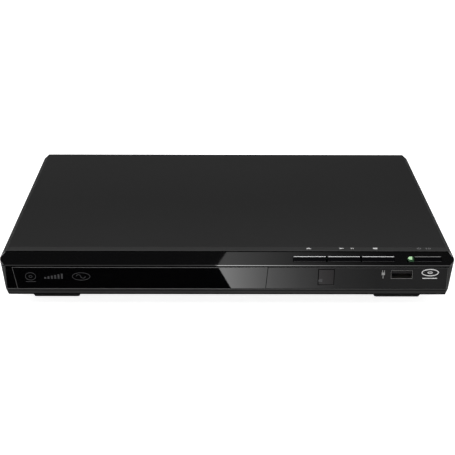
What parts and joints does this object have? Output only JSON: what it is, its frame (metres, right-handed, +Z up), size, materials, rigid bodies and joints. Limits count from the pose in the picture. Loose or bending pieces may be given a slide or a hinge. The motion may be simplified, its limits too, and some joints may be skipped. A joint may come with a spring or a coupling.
{
  "type": "disc player",
  "caption": "Slim tabletop disc player: painted steel case, gloss front with a sliding disc tray, push keys, remote window and USB socket, rear sockets.",
  "frame": {"origin": "on the table, under the middle of the whole part", "axes": "+X to the right seen from the front, +Y to the rear, +Z up; the front faces -Y"},
  "size_m": [0.27, 0.207, 0.0365],
  "materials": {
    "cover_paint": "fine matte black paint",
    "pan_steel": "bare galvanised steel",
    "rear_paint": "matte black paint",
    "foot_plastic": "matte black moulding",
    "pad_foam": "dark foam pad",
    "black_screw": "blackened steel",
    "bezel_plastic": "fine-grained black moulding",
    "gloss_black": "polished piano black",
    "window_plastic": "dark infrared-clear plastic",
    "lens_green": "clear green lens",
    "key_plastic": "black key with a bright top edge",
    "board_green": "green solder mask",
    "switch_plastic": "black switch bodies",
    "receiver_plastic": "dark epoxy",
    "socket_steel": "bright nickel plate",
    "tray_plastic": "dark grey moulding",
    "frame_plastic": "black moulding",
    "bridge_steel": "bare steel",
    "clamp_plastic": "natural white moulding",
    "motor_steel": "plated steel",
    "pulley_brass": "turned brass",
    "belt_rubber": "black rubber",
    "gear_plastic": "natural acetal",
    "base_steel": "zinc plate",
    "turntable_plastic": "black moulding",
    "mat_rubber": "grey rubber",
    "rod_steel": "ground steel",
    "sled_metal": "die-cast body",
    "lens_glass": "coated lens",
    "chip_epoxy": "black epoxy",
    "heatsink_aluminium": "plain aluminium",
    "capacitor_sleeve": "blue sleeve",
    "header_plastic": "natural white moulding",
    "socket_plastic": "black moulding",
    "jack_orange": "orange moulding",
    "jack_yellow": "yellow moulding",
    "jack_white": "white moulding",
    "jack_red": "red moulding",
    "board_brown": "phenolic board",
    "winding_tape": "yellow tape",
    "fuse_glass": "clear tube with metal ends",
    "cable_white": "white flat cable",
    "wire_red": "red insulation",
    "zinc_screw": "zinc plate"
  },
  "bodies": {
    "case": {"top_cover": "cover_paint", "bottom_chassis": "pan_steel", "rear_panel": "rear_paint", "feet": "foot_plastic", "foot_pads": "pad_foam", "case_screws": "black_screw", "front_bezel": "bezel_plastic", "upper_band": "gloss_black", "lower_panel": "gloss_black", "left_trim": "gloss_black", "ir_window": "window_plastic", "power_lens": "lens_green", "front_board": "board_green", "tact_switches": "switch_plastic", "ir_receiver": "receiver_plastic", "usb_socket": "socket_steel", "loader_frame": "frame_plastic", "clamper_bridge": "bridge_steel", "loading_motor": "motor_steel", "drive_belt": "belt_rubber", "main_board": "board_green", "main_chips": "chip_epoxy", "main_heatsink": "heatsink_aluminium", "board_capacitors": "capacitor_sleeve", "cable_headers": "header_plastic", "scart_socket": "socket_plastic", "coax_jack": "jack_orange", "video_jack": "jack_yellow", "audio_jack_left": "jack_white", "audio_jack_right": "jack_red", "power_board": "board_brown", "transformer": "winding_tape", "power_capacitors": "capacitor_sleeve", "fuse": "fuse_glass", "mains_inlet": "socket_plastic", "flat_cables": "cable_white", "wire_harness": "wire_red", "board_screws": "zinc_screw"},
    "tray": {"disc_tray": "tray_plastic", "tray_door": "gloss_black"},
    "rack_gear": {"tray_gear": "gear_plastic"},
    "pinion": {"pulley_gear": "gear_plastic"},
    "drive_pulley": {"motor_pulley": "pulley_brass"},
    "cam": {"cam_slider": "gear_plastic"},
    "disc_drive": {"traverse_base": "base_steel", "spindle_motor": "motor_steel", "guide_rods": "rod_steel", "sled_motor": "motor_steel"},
    "spindle": {"spindle_rotor": "motor_steel", "turntable": "turntable_plastic", "turntable_mat": "mat_rubber"},
    "pickup": {"pickup_sled": "sled_metal", "objective_lens": "lens_glass"},
    "lead_screw": {"sled_screw": "pulley_brass"},
    "clamp": {"clamper_puck": "clamp_plastic", "clamper_yoke": "motor_steel"},
    "open_key": {"key_open": "key_plastic"},
    "play_key": {"key_play": "key_plastic"},
    "stop_key": {"key_stop": "key_plastic"},
    "power_key": {"key_power": "key_plastic"}
  },
  "joints": [
    {"name": "tray_slide", "type": "slide", "parent": "case", "child": "tray", "axis": [0, -1, 0], "range_m": [0, 0.128]},
    {"name": "rack_gear_turn", "type": "hinge", "parent": "case", "child": "rack_gear", "pos_m": [-0.005, -0.072, 0.0199], "axis": [0, 0, 1], "range_deg": [-640, 20]},
    {"name": "pinion_turn", "type": "hinge", "parent": "case", "child": "pinion", "pos_m": [-0.023, -0.072, 0.0125], "axis": [0, 0, 1], "range_deg": [-20, 1260]},
    {"name": "motor_pulley_turn", "type": "hinge", "parent": "case", "child": "drive_pulley", "pos_m": [-0.058, -0.072, 0.012], "axis": [0, 0, 1], "range_deg": [-20, 4960]},
    {"name": "drive_lift", "type": "hinge", "parent": "case", "child": "disc_drive", "pos_m": [-0.052, 0.062, 0.018], "axis": [-1, 0, 0], "range_deg": [0, 3.8]},
    {"name": "cam_slide", "type": "slide", "parent": "case", "child": "cam", "axis": [1, 0, 0], "range_m": [0, 0.0142]},
    {"name": "turntable_spin", "type": "hinge", "parent": "disc_drive", "child": "spindle", "pos_m": [-0.052, -0.02986, 0.0129], "axis": [0, -0.0663, 0.9978], "continuous": true},
    {"name": "clamp_spin", "type": "hinge", "parent": "case", "child": "clamp", "pos_m": [-0.052, -0.03, 0.0315], "axis": [0, 0, 1], "continuous": true},
    {"name": "pickup_slide", "type": "slide", "parent": "disc_drive", "child": "pickup", "axis": [0, 0.9978, 0.0663], "range_m": [0, 0.036]},
    {"name": "lead_screw_turn", "type": "hinge", "parent": "disc_drive", "child": "lead_screw", "pos_m": [-0.0712, -0.00778, 0.01236], "axis": [0, 0.9978, 0.0663], "range_deg": [-10, 8700]},
    {"name": "open_key_press", "type": "slide", "parent": "case", "child": "open_key", "axis": [0, 0.7529, -0.6582], "range_m": [0, 0.0005], "stiffness_N_per_m": 600, "springref_m": -0.0002},
    {"name": "play_key_press", "type": "slide", "parent": "case", "child": "play_key", "axis": [0, 0.7529, -0.6582], "range_m": [0, 0.0005], "stiffness_N_per_m": 600, "springref_m": -0.0002},
    {"name": "stop_key_press", "type": "slide", "parent": "case", "child": "stop_key", "axis": [0, 0.7529, -0.6582], "range_m": [0, 0.0005], "stiffness_N_per_m": 600, "springref_m": -0.0002},
    {"name": "power_key_press", "type": "slide", "parent": "case", "child": "power_key", "axis": [0, 0.7529, -0.6582], "range_m": [0, 0.0005], "stiffness_N_per_m": 600, "springref_m": -0.0002}
  ],
  "couplings": [
    {"joint": "rack_gear_turn", "follows": "tray_slide", "rad_per_m": -83.333},
    {"joint": "pinion_turn", "follows": "tray_slide", "rad_per_m": 166.67},
    {"joint": "motor_pulley_turn", "follows": "tray_slide", "rad_per_m": 666.67},
    {"joint": "cam_slide", "follows": "drive_lift", "m_per_rad": 0.21109},
    {"joint": "lead_screw_turn", "follows": "pickup_slide", "rad_per_m": 4188.8}
  ]
}
